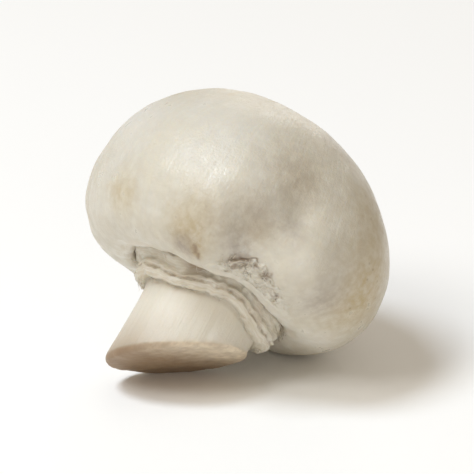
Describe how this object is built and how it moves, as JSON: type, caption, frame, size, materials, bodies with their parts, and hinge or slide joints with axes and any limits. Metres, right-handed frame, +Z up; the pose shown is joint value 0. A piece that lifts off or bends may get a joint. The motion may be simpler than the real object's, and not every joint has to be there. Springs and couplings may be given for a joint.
{
  "type": "button mushroom",
  "caption": "Whole white button mushroom with a rounded cap, torn veil ring and slant-cut stem, lying on its side with brown gills under the cap.",
  "frame": {"origin": "on the surface that the mushroom lies on, under the centre of its bounding box", "axes": "+Z up from the surface it lies on; the stem points towards -X and -Y, and the crown leans towards +X and +Y"},
  "size_m": [0.042, 0.041, 0.0394],
  "materials": {
    "flesh": "matte, faintly silky cream-white mushroom skin, cottony on the veil, fibrous on the stem and brown at the cut",
    "gills": "matte pinkish-brown gill blades"
  },
  "bodies": {
    "root": {"cap_and_stem": "flesh", "gills": "gills"}
  },
  "joints": []
}
